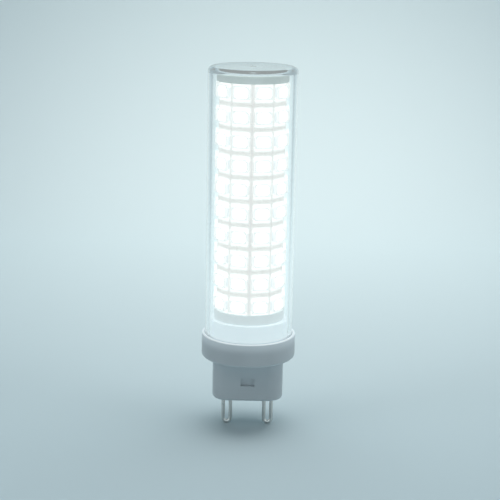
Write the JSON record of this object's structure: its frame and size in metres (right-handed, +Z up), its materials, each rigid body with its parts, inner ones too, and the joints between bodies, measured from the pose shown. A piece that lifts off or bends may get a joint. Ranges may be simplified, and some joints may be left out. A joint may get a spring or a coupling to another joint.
{
  "type": "LED corn bulb",
  "caption": "Slim upright LED bulb: a round column of light packages under a clear tube, on a white collar with an oblong plug block and two looped wire pins",
  "frame": {"origin": "middle of the seat plane, the flat underside of the collar round the plug block", "axes": "+Z is up along the bulb, away from the plug; X runs along the line of the two pins; -Y is the side that the picture shows"},
  "size_m": [0.0204, 0.0204, 0.079],
  "materials": {
    "clear_plastic": "clear, glossy",
    "white_plastic": "satin moulded",
    "pin_metal": "drawn wire",
    "core_metal": "drawn tube",
    "light_board": "white solder mask",
    "light_package": "lit",
    "cap_plastic": "satin moulded",
    "driver_board": "solder mask",
    "black_resin": "moulded resin",
    "film_box": "dipped",
    "capacitor_sleeve": "shrunk sleeve",
    "resistor_body": "lacquered",
    "wire_jacket": "insulated wire",
    "solder": "solder"
  },
  "bodies": {
    "root": {"clear_cover": "clear_plastic", "base_housing": "white_plastic", "pin_left": "pin_metal", "pin_right": "pin_metal", "core_tube": "core_metal", "led_board": "light_board", "led_column_01": "light_package", "led_column_02": "light_package", "led_column_03": "light_package", "led_column_04": "light_package", "led_column_05": "light_package", "led_column_06": "light_package", "led_column_07": "light_package", "led_column_08": "light_package", "led_column_09": "light_package", "led_column_10": "light_package", "column_cap": "cap_plastic", "driver_board": "driver_board", "bridge_rectifier": "black_resin", "driver_chip": "black_resin", "film_capacitor": "film_box", "storage_capacitor": "capacitor_sleeve", "fuse_resistor": "resistor_body", "chip_resistors": "black_resin", "input_wire_left": "wire_jacket", "input_wire_right": "wire_jacket", "output_wire_left": "wire_jacket", "output_wire_right": "wire_jacket", "solder_joints": "solder"}
  },
  "joints": []
}
